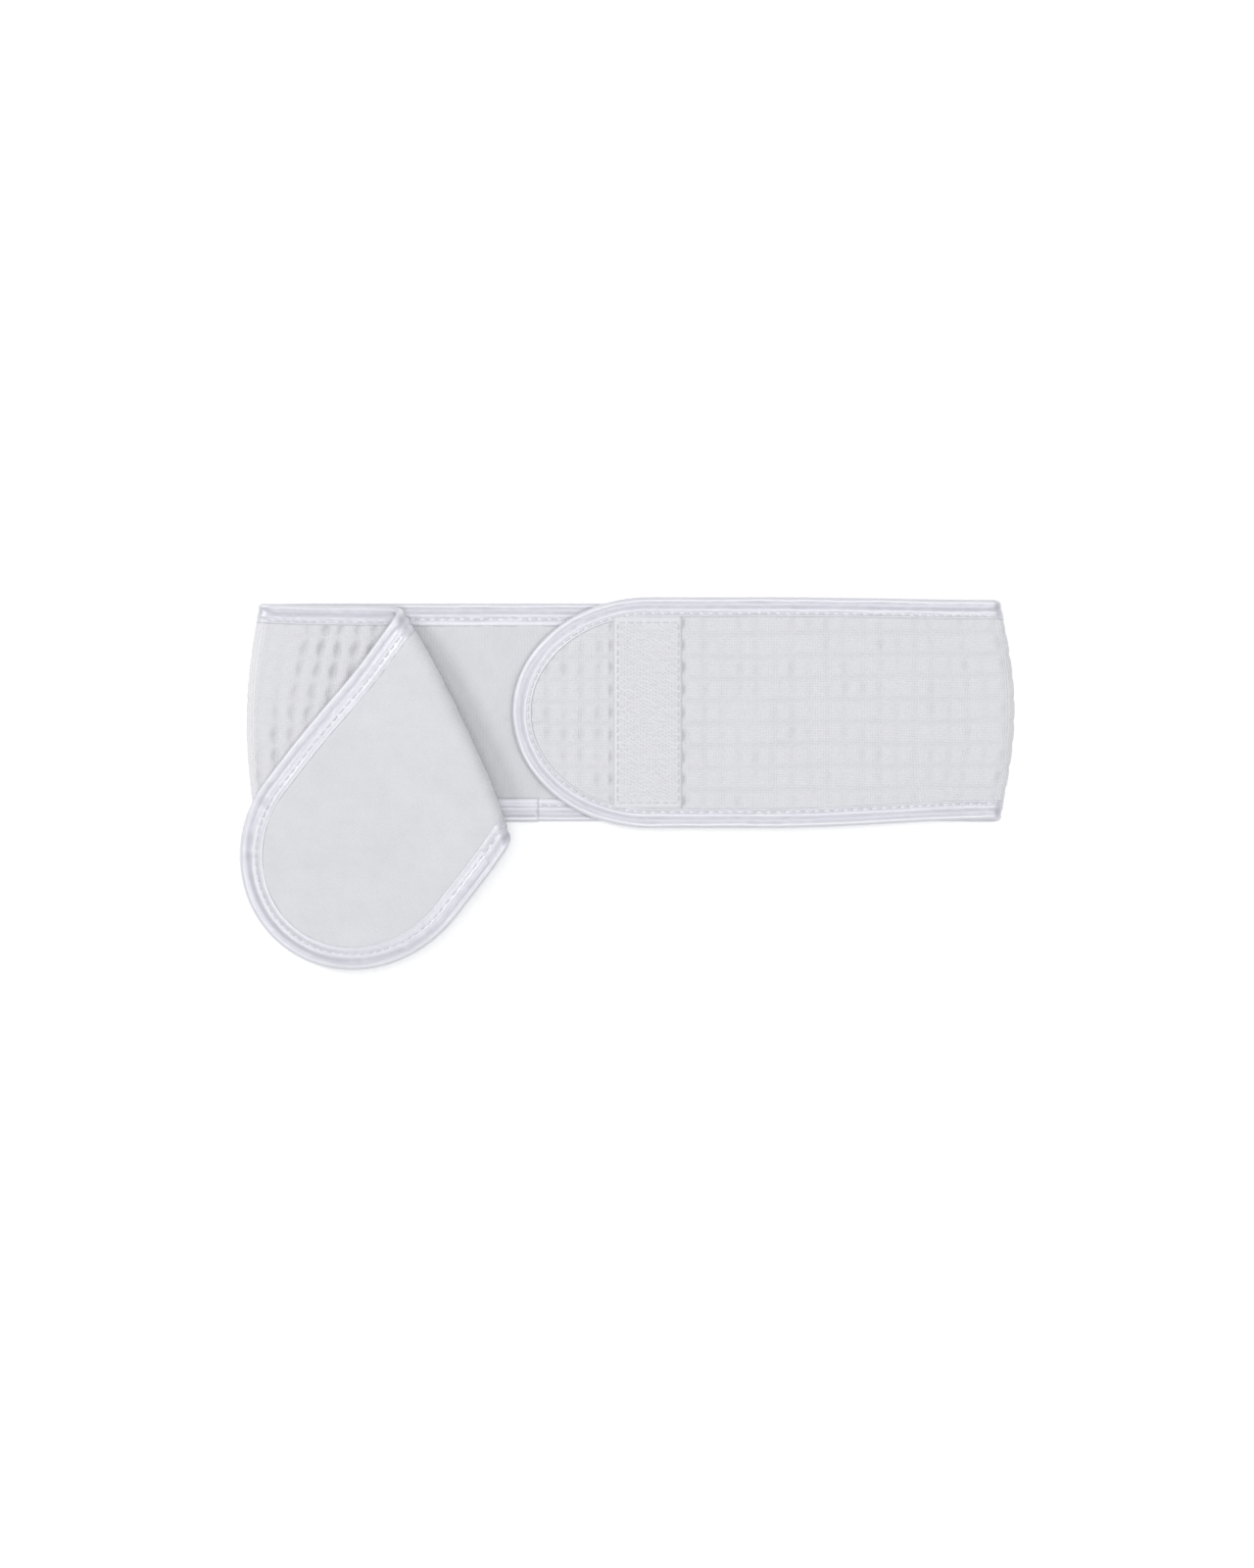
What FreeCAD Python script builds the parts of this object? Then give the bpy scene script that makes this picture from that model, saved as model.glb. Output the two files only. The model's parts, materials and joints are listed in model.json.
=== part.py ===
import FreeCAD, Part
import math
import os
import Sketcher

# A wrap-around headband of waffle cloth, lying folded: two arms turned in over the back panel, and the
# left arm's end turned back once more along a slanted fold.  Millimetres, +Z up.  The origin is at the
# middle of the underside of the whole folded band.

SIZES = (
    ("band_width", 80.0, "width of the back panel, over the binding"),
    ("end_width", 84.0, "width of each arm where its rounded end starts"),
    ("cover_thickness", 1.8, "waffle cover"),
    ("lining_thickness", 1.0, "brushed lining"),
    ("binding_width", 7.0, "binding seen on the waffle face"),
    ("lining_binding_width", 8.4, "binding seen on the lining face"),
    ("binding_thickness", 0.35, "satin of the binding"),
    ("seam_margin", 1.1, "inner edge of the binding to its seam, on the waffle face"),
    ("thread_width", 0.4, "sewing thread lying on the cloth, across"),
    ("thread_depth", 0.2, "sewing thread sunk into the cloth, deep"),
    ("fold_span", 274.8, "left fold axis to right fold axis"),
    ("fold_gap", 0.8, "air between the back panel and an arm folded over it"),
    ("nose_reach", 95.5, "left fold axis to the tip of the right arm"),
    ("diagonal_distance", 75.1, "left fold axis to the slanted fold, on the centre line"),
    ("tip_length", 102.0, "slanted fold to the tip of the left arm, on the centre line"),
    ("diagonal_angle", 61.7, "slanted fold to the arm's centre line, degrees"),
    ("left_skew", 1.3, "left fold out of square, degrees"),
    ("left_rise", 3.0, "left arm leaning up from the back panel, degrees"),
    ("tip_gap", 1.0, "air between the left arm and its turned-back end"),
    ("slant_room", 3.0, "spare length trimmed off along the skewed fold"),
    ("tape_width", 25.0, "hook tape, along the band"),
    ("tape_thickness", 0.9, "hook tape with its hooks"),
    ("tape_setback", 36.5, "tip of the right arm to the hook tape"),
    ("tape_clearance", 0.5, "hook tape's ends to the binding"),
    ("tape_seam_inset", 1.5, "edge of the hook tape to its seam"),
    ("join_distance", 104.5, "left fold axis to the lapped end of the binding"),
    ("join_length", 12.5, "lap of the binding's end"),
    ("join_thickness", 0.3, "satin of the lapped end"),
)

doc = FreeCAD.newDocument("headband")
sheet = doc.addObject("Spreadsheet::Sheet", "Sizes")
for row, (alias, size, meaning) in enumerate(SIZES, 1):
    sheet.set(f"A{row}", meaning)
    sheet.set(f"B{row}", str(size))
    sheet.setAlias(f"B{row}", alias)
doc.recompute()


def named(alias):
    """The expression that reads one driving size."""
    return f"Sizes.{alias}"


def value(expression):
    """What an expression comes to, in millimetres or degrees."""
    result = sheet.evalExpression(str(expression))
    return float(getattr(result, "Value", result))


# ---- Sizes that follow from the driving ones, as expressions.
BINDING = named("binding_width")
LINING_BINDING = named("lining_binding_width")
SATIN = named("binding_thickness")
THICKNESS = "(Sizes.cover_thickness + Sizes.lining_thickness)"
HALF_BAND = "(Sizes.band_width / 2)"
HALF_END = "(Sizes.end_width / 2)"
FLARE = "((Sizes.end_width - Sizes.band_width) / 2)"
RIGHT_LENGTH = "(Sizes.fold_span - Sizes.nose_reach)"
RIGHT_STRAIGHT = f"({RIGHT_LENGTH} - {HALF_END})"
LEFT_STRAIGHT = f"(Sizes.diagonal_distance + Sizes.tip_length - {HALF_END})"
LEFT_SLOPE = f"({FLARE} / {LEFT_STRAIGHT})"
HALF_AT_DIAGONAL = f"({HALF_BAND} + {LEFT_SLOPE} * Sizes.diagonal_distance)"
SLANT = "(1 / sin(Sizes.diagonal_angle))"
ACROSS = "sin(Sizes.diagonal_angle)"
ALONG = f"({LEFT_SLOPE} * cos(Sizes.diagonal_angle))"
DIAGONAL_UPPER = f"({HALF_AT_DIAGONAL} / ({ACROSS} + {ALONG}))"
DIAGONAL_LOWER = f"({HALF_AT_DIAGONAL} / ({ACROSS} - {ALONG}))"
REACH = "(2 * (Sizes.fold_span + Sizes.end_width))"


# ---- Heights.  depth runs through the cloth, 0 on the lining's bare face and THICKNESS on the waffle's.
# Each frame has its origin on a fold's axis.
def on_back(depth):
    return f"-(Sizes.fold_gap / 2 + {depth})"


def on_arm(depth):
    return f"(Sizes.fold_gap / 2 + {depth})"


def on_diagonal(depth):
    return f"-(Sizes.tip_gap / 2 + {THICKNESS} - {depth})"


# ---- Cross-sections of the band: lists of corners, each (place across the band, height).
def cover_section(upper, lower, height, across="1"):
    """Waffle cover between the edges +upper and -lower, stepped down to take the binding."""
    inner = f"{BINDING} * {across}"
    edge = f"{SATIN} * {across}"
    bare = THICKNESS
    step = f"({THICKNESS} - {SATIN})"
    back = named("lining_thickness")
    return [
        (f"-({lower} - {edge})", height(back)),
        (f"{upper} - {edge}", height(back)),
        (f"{upper} - {edge}", height(step)),
        (f"{upper} - {inner}", height(step)),
        (f"{upper} - {inner}", height(bare)),
        (f"-({lower} - {inner})", height(bare)),
        (f"-({lower} - {inner})", height(step)),
        (f"-({lower} - {edge})", height(step)),
    ]


def lining_section(upper, lower, height, across="1"):
    """Lining between the edges +upper and -lower, stepped down to take the binding."""
    inner = f"{LINING_BINDING} * {across}"
    edge = f"{SATIN} * {across}"
    back = named("lining_thickness")
    return [
        (f"-({lower} - {edge})", height(back)),
        (f"{upper} - {edge}", height(back)),
        (f"{upper} - {edge}", height(SATIN)),
        (f"{upper} - {inner}", height(SATIN)),
        (f"{upper} - {inner}", height("0")),
        (f"-({lower} - {inner})", height("0")),
        (f"-({lower} - {inner})", height(SATIN)),
        (f"-({lower} - {edge})", height(SATIN)),
    ]


def half_of(section):
    """The upper half of a cover or lining section, from the centre line to the +upper edge."""
    return [("0", section[0][1])] + section[1:5] + [("0", section[4][1])]


SEAM_OUT = "(Sizes.binding_width - Sizes.seam_margin - Sizes.thread_width / 2)"
SEAM_IN = "(Sizes.binding_width - Sizes.seam_margin + Sizes.thread_width / 2)"
SUNK = named("thread_depth")
UNDER = f"({THICKNESS} - {SUNK})"
INNER_FACE = f"({THICKNESS} - {SATIN})"

SEWN_BINDING = (
    (LINING_BINDING, "0"), (SEAM_IN, "0"), (SEAM_IN, SUNK), (SEAM_OUT, SUNK), (SEAM_OUT, "0"), ("0", "0"),
    ("0", THICKNESS), (SEAM_OUT, THICKNESS), (SEAM_OUT, UNDER), (SEAM_IN, UNDER), (SEAM_IN, THICKNESS),
    (BINDING, THICKNESS), (BINDING, INNER_FACE), (SATIN, INNER_FACE), (SATIN, SATIN),
    (LINING_BINDING, SATIN),
)
PLAIN_BINDING = (
    (LINING_BINDING, "0"), ("0", "0"), ("0", THICKNESS), (BINDING, THICKNESS),
    (BINDING, INNER_FACE), (SATIN, INNER_FACE), (SATIN, SATIN), (LINING_BINDING, SATIN),
)
BOBBIN_THREAD = ((SEAM_IN, "0"), (SEAM_IN, SUNK), (SEAM_OUT, SUNK), (SEAM_OUT, "0"))
NEEDLE_THREAD = ((SEAM_IN, THICKNESS), (SEAM_IN, UNDER), (SEAM_OUT, UNDER), (SEAM_OUT, THICKNESS))


def edge_section(shape, side, half_width, height, across="1"):
    """A section given by (distance in from the edge, depth), put at the edge side * half_width."""
    return [(f"{side} * ({half_width} - {inset} * {across})", height(depth)) for inset, depth in shape]


# ---- Building blocks.
def new_body(label):
    body = doc.addObject("PartDesign::Body", label)
    body.Label = label
    return body


def origin_plane(body, role):
    return next(plane for plane in body.Origin.OriginFeatures if plane.Role == role)


def add_sketch(body, role, corners, along="0", angle="0"):
    """A closed outline on one of the body's planes, moved by along and turned by angle."""
    sketch = body.newObject("Sketcher::SketchObject", f"{body.Label}_outline")
    sketch.AttachmentSupport = [(origin_plane(body, role), "")]
    sketch.MapMode = "FlatFace"
    upright = FreeCAD.Rotation(FreeCAD.Vector(0, 0, 1), 0)
    sketch.AttachmentOffset = FreeCAD.Placement(FreeCAD.Vector(), upright)
    sketch.setExpression("AttachmentOffset.Rotation.Angle", angle)
    shifted = "z" if role == "YZ_Plane" else "x"
    sketch.setExpression(f"AttachmentOffset.Base.{shifted}", along)
    points = [FreeCAD.Vector(value(x), value(y), 0) for x, y in corners]
    count = len(points)
    for index, point in enumerate(points):
        sketch.addGeometry(Part.LineSegment(point, points[(index + 1) % count]))
    for index in range(count):
        sketch.addConstraint(Sketcher.Constraint("Coincident", index, 2, (index + 1) % count, 1))
    for index, (x, y) in enumerate(corners):
        for kind, expression in (("DistanceX", x), ("DistanceY", y)):
            datum = Sketcher.Constraint(kind, -1, 1, index, 1, value(expression))
            place = sketch.addConstraint(datum)
            sketch.setExpression(f"Constraints[{place}]", expression)
    return sketch


def add_run(body, section, start, end):
    """A straight stretch of one section along the band."""
    pad = body.newObject("PartDesign::Pad", f"{body.Label}_run")
    pad.Profile = add_sketch(body, "YZ_Plane", section, start)
    pad.setExpression("Length", f"{end} - ({start})")


def add_flared_run(body, narrow, wide, start, end):
    """A stretch that widens evenly from the section at start to the one at end."""
    loft = body.newObject("PartDesign::AdditiveLoft", f"{body.Label}_run")
    loft.Profile = add_sketch(body, "YZ_Plane", narrow, start)
    loft.Sections = [add_sketch(body, "YZ_Plane", wide, end)]
    loft.Ruled = True


def add_nose(body, section, at):
    """The rounded end of an arm: the section turned half round the arm's end."""
    nose = body.newObject("PartDesign::Revolution", f"{body.Label}_nose")
    sketch = add_sketch(body, "YZ_Plane", section, at)
    nose.Profile = sketch
    nose.ReferenceAxis = (sketch, ["V_Axis"])
    nose.Angle = 180
    nose.Reversed = True


def add_bend(body, section, angle):
    """Cloth bent round the fold's axis: the section turned about it."""
    bend = body.newObject("PartDesign::Revolution", f"{body.Label}_bend")
    sketch = add_sketch(body, "YZ_Plane", section)
    bend.Profile = sketch
    bend.ReferenceAxis = (sketch, ["H_Axis"])
    bend.setExpression("Angle", angle)


def trim(body, at, angle, side):
    """Cut away everything on one side of a line across the band: side -1 behind it, +1 beyond it."""
    before = body.Shape.Volume
    far = f"{side} * {REACH}"
    corners = [("0", f"-{REACH}"), (far, f"-{REACH}"), (far, REACH), ("0", REACH)]
    cut = body.newObject("PartDesign::Pocket", f"{body.Label}_trim")
    cut.Profile = add_sketch(body, "XY_Plane", corners, at, angle)
    cut.Type = "ThroughAll"
    cut.SideType = "Symmetric"
    doc.recompute()
    if body.Shape.Volume >= before:
        raise RuntimeError(f"{body.Label}: the trim cuts nothing")


# ---- Where each frame stands, worked out from the same sizes.
def turned(degrees, axis=(0, 0, 1)):
    return FreeCAD.Placement(FreeCAD.Vector(), FreeCAD.Rotation(FreeCAD.Vector(*axis), degrees))


def moved(x, y, z):
    return FreeCAD.Placement(FreeCAD.Vector(x, y, z), FreeCAD.Rotation())


skew = value(named("left_skew"))
rise = value(named("left_rise"))
slanted = value(named("diagonal_angle"))
fold_height = value(on_arm(THICKNESS))
diagonal_height = value(f"{on_arm(THICKNESS)} + Sizes.tip_gap / 2")

LEFT_FOLD_SQUARE = moved(0, 0, fold_height)
LEFT_FOLD = LEFT_FOLD_SQUARE * turned(-skew)
LEFT_ARM = LEFT_FOLD * turned(-rise, (0, 1, 0)) * turned(-skew)
RIGHT_FOLD = moved(value(named("fold_span")), 0, fold_height) * turned(180)
DIAGONAL = LEFT_ARM * moved(value(named("diagonal_distance")), 0, diagonal_height) * turned(270 - slanted)
TURNED_BACK = DIAGONAL * turned(180, (0, 1, 0)) * DIAGONAL.inverse() * LEFT_ARM

EDGES = (("top", 1), ("bottom", -1))
bodies = []


def finish(body, placement):
    """Put a finished piece in its place."""
    body.Placement = placement
    bodies.append(body)


def back_panel():
    """The stretch between the two end folds, cut square on the right and skewed on the left."""
    start = "-Sizes.slant_room"

    def piece(label, section):
        body = new_body(label)
        add_run(body, section, start, named("fold_span"))
        doc.recompute()
        trim(body, "0", "-Sizes.left_skew", -1)
        finish(body, LEFT_FOLD_SQUARE)

    piece("back_cover", cover_section(HALF_BAND, HALF_BAND, on_back))
    piece("back_lining", lining_section(HALF_BAND, HALF_BAND, on_back))
    for edge, side in EDGES:
        piece(f"back_binding_{edge}", edge_section(SEWN_BINDING, side, HALF_BAND, on_back))
        piece(f"back_needle_thread_{edge}", edge_section(NEEDLE_THREAD, side, HALF_BAND, on_back))
        piece(f"back_bobbin_thread_{edge}", edge_section(BOBBIN_THREAD, side, HALF_BAND, on_back))


def arm_with_nose(prefix, placement, straight, finish_piece):
    """Cover, lining, binding and threads of an arm that ends in a rounded nose."""
    sections = {"cover": cover_section, "lining": lining_section}
    for name, section in sections.items():
        body = new_body(f"{prefix}_{name}")
        wide = section(HALF_END, HALF_END, on_arm)
        add_flared_run(body, section(HALF_BAND, HALF_BAND, on_arm), wide, "0", straight)
        add_nose(body, half_of(wide), straight)
        doc.recompute()
        finish_piece(body, placement)
    edges = {"binding": SEWN_BINDING, "needle_thread": NEEDLE_THREAD, "bobbin_thread": BOBBIN_THREAD}
    for name, shape in edges.items():
        body = new_body(f"{prefix}_{name}")
        for _, side in EDGES:
            narrow = edge_section(shape, side, HALF_BAND, on_arm)
            wide = edge_section(shape, side, HALF_END, on_arm)
            add_flared_run(body, narrow, wide, "0", straight)
            if side > 0:
                add_nose(body, wide, straight)
        doc.recompute()
        finish_piece(body, placement)


def right_arm():
    arm_with_nose("right", RIGHT_FOLD, RIGHT_STRAIGHT, finish)


def left_tip():
    """The turned-back end: the arm beyond the slanted fold, modelled flat and then turned over."""

    def cut_and_finish(body, placement):
        trim(body, named("diagonal_distance"), "90 - Sizes.diagonal_angle", -1)
        finish(body, placement)

    arm_with_nose("tip", TURNED_BACK, LEFT_STRAIGHT, cut_and_finish)


def left_arm():
    """The stretch of the left arm between its two folds."""
    start = "-Sizes.slant_room"

    def piece(label, narrow, wide):
        body = new_body(label)
        add_flared_run(body, narrow, wide, start, LEFT_STRAIGHT)
        doc.recompute()
        trim(body, "0", named("left_skew"), -1)
        trim(body, named("diagonal_distance"), "90 - Sizes.diagonal_angle", 1)
        finish(body, LEFT_ARM)

    for name, section in (("cover", cover_section), ("lining", lining_section)):
        piece(f"left_{name}", section(HALF_BAND, HALF_BAND, on_arm), section(HALF_END, HALF_END, on_arm))
    shapes = (("binding", SEWN_BINDING), ("needle_thread", NEEDLE_THREAD), ("bobbin_thread", BOBBIN_THREAD))
    for name, shape in shapes:
        for edge, side in EDGES:
            narrow = edge_section(shape, side, HALF_BAND, on_arm)
            piece(f"left_{name}_{edge}", narrow, edge_section(shape, side, HALF_END, on_arm))


def fold(prefix, placement, upper, lower, height, angle, across, edges):
    """The band's layers bent round a fold."""

    def piece(name, section):
        body = new_body(f"{prefix}_fold_{name}")
        add_bend(body, section, angle)
        doc.recompute()
        finish(body, placement)

    piece("cover", cover_section(upper, lower, height, across))
    piece("lining", lining_section(upper, lower, height, across))
    for edge, side in edges:
        half_width = upper if side > 0 else lower
        piece(f"binding_{edge}", edge_section(PLAIN_BINDING, side, half_width, height, across))


def folds():
    turned_edges = (("bottom", 1), ("top", -1))
    fold("left", LEFT_FOLD, HALF_BAND, HALF_BAND, on_back, "180 - Sizes.left_rise", "1", EDGES)
    fold("right", RIGHT_FOLD, HALF_BAND, HALF_BAND, on_back, "180", "1", turned_edges)
    fold("tip", DIAGONAL, DIAGONAL_LOWER, DIAGONAL_UPPER, on_diagonal, "180", SLANT, turned_edges)


# ---- Pieces made from boxes: the hook tape with its seam, and the lapped end of the binding.
def add_box(label, sizes, corner=()):
    """A box of bound sizes, with its lowest corner bound too where one is given."""
    box = doc.addObject("Part::Box", label)
    box.Label = label
    for name, expression in zip(("Length", "Width", "Height"), sizes):
        box.setExpression(name, expression)
    for name, expression in zip("xyz", corner):
        box.setExpression(f"Placement.Base.{name}", expression)
    return box


def add_cut(label, base, tool):
    cut = doc.addObject("Part::Cut", label)
    cut.Label = label
    cut.Base = base
    cut.Tool = tool
    return cut


def centred_box(label, inset, bottom, height):
    """A box over the hook tape, smaller than it by inset all round."""
    near = f"({RIGHT_LENGTH} - Sizes.tape_setback - Sizes.tape_width)"
    edge = f"{HALF_BAND} + {FLARE} * {near} / {RIGHT_STRAIGHT}"
    half = f"({edge} - {BINDING} - Sizes.tape_clearance - {inset})"
    sizes = (f"Sizes.tape_width - 2 * {inset}", f"2 * {half}", height)
    return add_box(label, sizes, (f"{near} + {inset}", f"-{half}", bottom))


def hook_tape():
    """The tape lies on the waffle face of the right arm, sewn down all round."""
    face = on_arm(THICKNESS)
    sunk_from = f"{face} + Sizes.tape_thickness - {SUNK}"
    outer = "(Sizes.tape_seam_inset - Sizes.thread_width / 2)"
    inner = "(Sizes.tape_seam_inset + Sizes.thread_width / 2)"

    def ring(label):
        rim = centred_box(f"{label}_rim", outer, sunk_from, SUNK)
        core = centred_box(f"{label}_core", inner, sunk_from, SUNK)
        return add_cut(label, rim, core)

    tape = centred_box("hook_tape_blank", "0", face, named("tape_thickness"))
    finish(add_cut("hook_tape", tape, ring("hook_tape_groove")), RIGHT_FOLD)
    finish(ring("hook_tape_thread"), RIGHT_FOLD)


def binding_join():
    """The end of the binding, lapped over its start on the lining side of the lower edge."""
    sizes = (named("join_length"), LINING_BINDING, named("join_thickness"))
    corner = ("Sizes.join_distance - Sizes.join_length", f"-{HALF_BAND}", on_back("0"))
    join = add_box("binding_join", sizes)
    finish(join, LEFT_FOLD_SQUARE * moved(*[value(place) for place in corner]))


def whole_box():
    """The tight box round every piece."""
    box = FreeCAD.BoundBox()
    for body in bodies:
        box.add(body.Shape.optimalBoundingBox(False, False))
    return box


def centre_on_origin():
    """Move everything so that the origin is under the middle of the folded band."""
    doc.recompute()
    box = whole_box()
    shift = FreeCAD.Vector(-box.Center.x, -box.Center.y, -box.ZMin)
    for body in bodies:
        body.Placement = FreeCAD.Placement(body.Placement.Base + shift, body.Placement.Rotation)
    doc.recompute()
    return shift


def check_document():
    """Refuse a document with a failed object or a bad shape."""
    for item in doc.Objects:
        if {"Invalid", "Error"} & set(item.State):
            raise RuntimeError(f"{item.Label}: {item.State}")
    for body in bodies:
        if body.Shape.isNull() or not body.Shape.isValid() or not body.Shape.Solids:
            raise RuntimeError(f"{body.Label}: bad shape")


def report_hinges(shift):
    """Print each fold's hinge: a point on it and its direction, opening by the right-hand rule.

    The left hinge stands half as high as the folded stack, so that the opened arm lies on its own end.
    """
    stack = value(f"Sizes.fold_gap + Sizes.tip_gap + 3 * {THICKNESS}")
    left_base = FreeCAD.Vector(0, 0, stack / 2)
    hinges = (
        ("right_fold", RIGHT_FOLD.Base, FreeCAD.Vector(0, 1, 0)),
        ("left_fold", left_base, LEFT_FOLD.Rotation.multVec(FreeCAD.Vector(0, -1, 0))),
        ("tip_fold", DIAGONAL.Base, DIAGONAL.Rotation.multVec(FreeCAD.Vector(0, -1, 0))),
    )
    for name, base, axis in hinges:
        place = base + shift
        print(name, [round(v, 4) for v in place], [round(v, 6) for v in axis])


back_panel()
right_arm()
left_arm()
left_tip()
folds()
hook_tape()
binding_join()
shift = centre_on_origin()
check_document()
os.makedirs("parts", exist_ok=True)
for body in bodies:
    body.Shape.exportStep(f"parts/{body.Label}.step")
report_hinges(shift)
print(len(bodies), "pieces", whole_box())
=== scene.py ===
import json
import math

import bpy
import numpy as np
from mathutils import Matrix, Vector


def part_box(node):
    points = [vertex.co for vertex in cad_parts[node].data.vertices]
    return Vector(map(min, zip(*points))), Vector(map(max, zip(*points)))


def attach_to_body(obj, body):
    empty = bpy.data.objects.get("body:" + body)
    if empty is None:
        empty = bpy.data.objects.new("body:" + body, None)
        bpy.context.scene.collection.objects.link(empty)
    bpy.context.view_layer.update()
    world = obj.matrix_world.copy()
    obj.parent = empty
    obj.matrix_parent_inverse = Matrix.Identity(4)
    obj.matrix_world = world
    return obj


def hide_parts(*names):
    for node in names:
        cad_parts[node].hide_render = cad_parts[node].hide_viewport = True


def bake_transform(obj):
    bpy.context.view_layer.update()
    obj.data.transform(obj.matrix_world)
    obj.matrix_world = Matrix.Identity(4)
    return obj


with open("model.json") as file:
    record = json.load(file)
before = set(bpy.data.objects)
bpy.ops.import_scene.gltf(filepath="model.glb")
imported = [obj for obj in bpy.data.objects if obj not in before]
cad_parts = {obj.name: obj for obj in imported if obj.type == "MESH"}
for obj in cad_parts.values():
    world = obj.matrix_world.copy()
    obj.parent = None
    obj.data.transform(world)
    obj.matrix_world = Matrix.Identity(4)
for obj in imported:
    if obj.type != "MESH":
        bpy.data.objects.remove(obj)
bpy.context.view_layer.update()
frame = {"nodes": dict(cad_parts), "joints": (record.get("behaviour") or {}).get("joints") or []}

# A folded wrap-around headband of waffle cloth.  Everything is worked out in millimetres on the flat band
# and then laid on its folded shape; a mesh is scaled to metres as it is made.
#
# Flat places are (r, v, d).  r runs along an arm from its fold's hinge, and is negative on the cloth bent
# round the fold and on the back panel beyond it.  v runs across the band, up the page.  d runs through the
# cloth, 0 on the lining's bare face and THICK on the tops of the waffle.

MM = 0.001

# ---- Sizes read from the frame.


def low(node):
    """The node's lowest corner, in millimetres."""
    return np.array(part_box(node)[0]) / MM


def high(node):
    """The node's highest corner, in millimetres."""
    return np.array(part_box(node)[1]) / MM


HINGES = {joint["name"]: joint for joint in frame["joints"]}


def hinge_place(name):
    return np.array(HINGES[name]["pos_m"]) / MM


def hinge_axis(name):
    axis = np.array(HINGES[name]["axis"])
    return axis / np.linalg.norm(axis)


RIGHT_X, BAND_Y, FOLD_Z = hinge_place("right_fold")
LEFT_X = hinge_place("left_fold")[0]
THICK = (high("back_binding_top") - low("back_binding_top"))[2]
LINING_BINDING = (high("back_binding_top") - low("back_binding_top"))[1]
FOLD_GAP = low("right_lining")[2] - high("back_lining")[2]
RIGHT_LENGTH = RIGHT_X - low("right_binding")[0] + 0.5  # the visible tip is fuller than the CAD's
TAPE_NEAR = RIGHT_X - high("hook_tape")[0]
TAPE_FAR = RIGHT_X - low("hook_tape")[0]
TAPE_HALF = (high("hook_tape") - low("hook_tape"))[1] / 2
JOIN_LOW = low("binding_join")[0]
JOIN_HIGH = high("binding_join")[0]

# ---- Sizes of the visible cloth.
WAFFLE_BINDING = 7.0  # binding seen on the waffle face
TIP_GAP = 1.0  # between the left arm and its turned-back end
TIP_LENGTH = 105.4  # slanted fold to the tip of the left arm
BACK_HALF = 39.8  # half widths: back panel, the arms at their folds, and further out
RIGHT_HALF_NEAR, RIGHT_HALF_FAR = 40.0, 42.0
LEFT_HALF_NEAR, LEFT_HALF_FAR = 39.6, 40.9
TIP_HALF = 42.6
RIGHT_NOSE, LEFT_NOSE = 50.0, 46.4  # length of each rounded end
BEND = FOLD_GAP / 2 + THICK / 2  # middle of the cloth round an end fold
SLANT_BEND = 3.2  # and round the soft slanted fold, where it is looser at mid-width
SLANT_BEND_EDGE, SLANT_BEND_MIDDLE = 2.5, 3.85
SLANT_BOW = 2.8  # how far the slanted fold bows out at mid-width
TIP_LEVEL = (THICK + TIP_GAP) / 2
STRIP = math.pi * BEND  # cloth taken by an end fold
SETTLE = 45.0  # an end fold's bow dies out over this length
WAFFLE_ALONG, WAFFLE_ACROSS = 6.4, 8.1
STITCH_PITCH, STITCH_LENGTH, THREAD_RADIUS = 3.5, 2.6, 0.26
SEAM_INSET = WAFFLE_BINDING - 1.1
HALF_SPAN = {"right": abs(RIGHT_X), "left": abs(LEFT_X)}  # from the page's middle to each end fold
SEAM_HEIGHT = 1.12  # of the stitches over the middle of the cloth
LOWEST = 0.02  # everything stays this far above the floor


def smooth(t):
    """From 0 to 1 with level ends, as t goes from 0 to 1."""
    t = np.clip(t, 0, 1)
    return t * t * (3 - 2 * t)


def waves(x, y, size, seed, count=9):
    """Smooth noise of about the given feature size, from -1 to 1 or so."""
    random = np.random.default_rng(seed)
    total = np.zeros(np.broadcast(x, y).shape)
    for _ in range(count):
        angle = random.uniform(0, 2 * math.pi)
        rate = 2 * math.pi / size * random.uniform(0.5, 1.2)
        phase = random.uniform(0, 2 * math.pi)
        total = total + np.cos(rate * (math.cos(angle) * x + math.sin(angle) * y) + phase)
    return total / math.sqrt(count)


# ---- The folded shape.


def rotation_z(degrees):
    c, s = math.cos(math.radians(degrees)), math.sin(math.radians(degrees))
    return np.array([[c, -s, 0], [s, c, 0], [0, 0, 1]])


def rotation_y(degrees):
    c, s = math.cos(math.radians(degrees)), math.sin(math.radians(degrees))
    return np.array([[c, 0, s], [0, 1, 0], [-s, 0, c]])


LEFT_AXIS = hinge_axis("left_fold")
SKEW = math.degrees(math.asin(-LEFT_AXIS[0]))
TO_SLANT = hinge_place("tip_fold") - np.array([LEFT_X, BAND_Y, FOLD_Z])
SLANT_HEIGHT = FOLD_GAP / 2 + THICK + TIP_GAP / 2
SLANT_AT = math.sqrt(TO_SLANT @ TO_SLANT - SLANT_HEIGHT**2)
RISE = math.degrees(
    math.atan2(TO_SLANT[2], math.hypot(TO_SLANT[0], TO_SLANT[1])) - math.atan2(SLANT_HEIGHT, SLANT_AT)
)
ARM_TURN = rotation_z(-SKEW) @ rotation_y(-RISE) @ rotation_z(-SKEW)
SLANT_LINE = ARM_TURN.T @ hinge_axis("tip_fold")  # in the arm's own frame: (-cos, sin, 0) of the slant
ALONG, ACROSS = SLANT_LINE[1], -SLANT_LINE[0]  # the slanted fold's normal, (along, across) the arm
SLANT_START = -(SLANT_BEND + THICK / 2)  # the bend starts this far before the hinge line
SLANT_STRIP = math.pi * SLANT_BEND
TIP_END = SLANT_AT + TIP_LENGTH


def slant_distance(r, v):
    """How far a flat place is beyond the slanted fold's line."""
    return (r - SLANT_AT) * ALONG + v * ACROSS


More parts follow.
